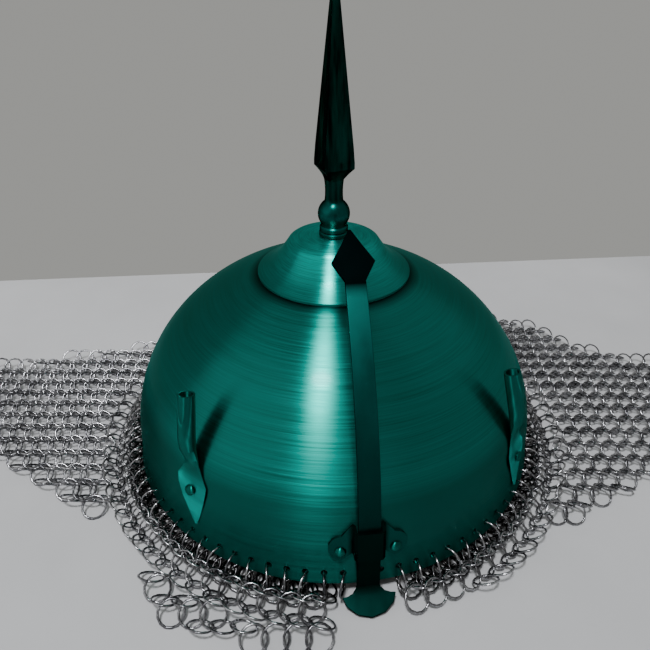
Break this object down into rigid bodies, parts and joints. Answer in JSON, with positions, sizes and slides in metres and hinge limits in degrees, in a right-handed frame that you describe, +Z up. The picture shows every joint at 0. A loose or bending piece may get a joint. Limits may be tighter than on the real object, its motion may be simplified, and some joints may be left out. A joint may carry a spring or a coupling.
{
  "type": "kulah khud",
  "caption": "Domed helmet with a bladed spike, a sliding nasal bar in a riveted bracket, plume sockets and a mail curtain spread flat around its rim.",
  "frame": {"origin": "on the bowl's axis, on the surface that the mail lies on", "axes": "+Z up along the bowl's axis and the spike, -Y to the front where the nasal is, +X to the wearer's left"},
  "size_m": [0.572, 0.25, 0.2206],
  "materials": {
    "green_metal": "brushed under clear green lacquer",
    "dark_green_metal": "dark green gloss lacquer",
    "plated_steel": "bright zinc plating"
  },
  "bodies": {
    "helmet": {"bowl": "green_metal", "crown_plate": "green_metal", "spike": "dark_green_metal", "spike_nut": "plated_steel", "nasal_bracket": "dark_green_metal", "bracket_rivet_left": "green_metal", "bracket_rivet_right": "green_metal", "plume_tube_left": "green_metal", "plume_tube_right": "green_metal", "plume_rivet_left": "green_metal", "plume_rivet_right": "green_metal", "mail": "plated_steel"},
    "nasal": {"nasal_bar": "dark_green_metal"}
  },
  "joints": [
    {"name": "nasal_slide", "type": "hinge", "parent": "helmet", "child": "nasal", "pos_m": [0, 0.0545, 0.007], "axis": [1, 0, 0], "range_deg": [-5.5, 33]}
  ]
}
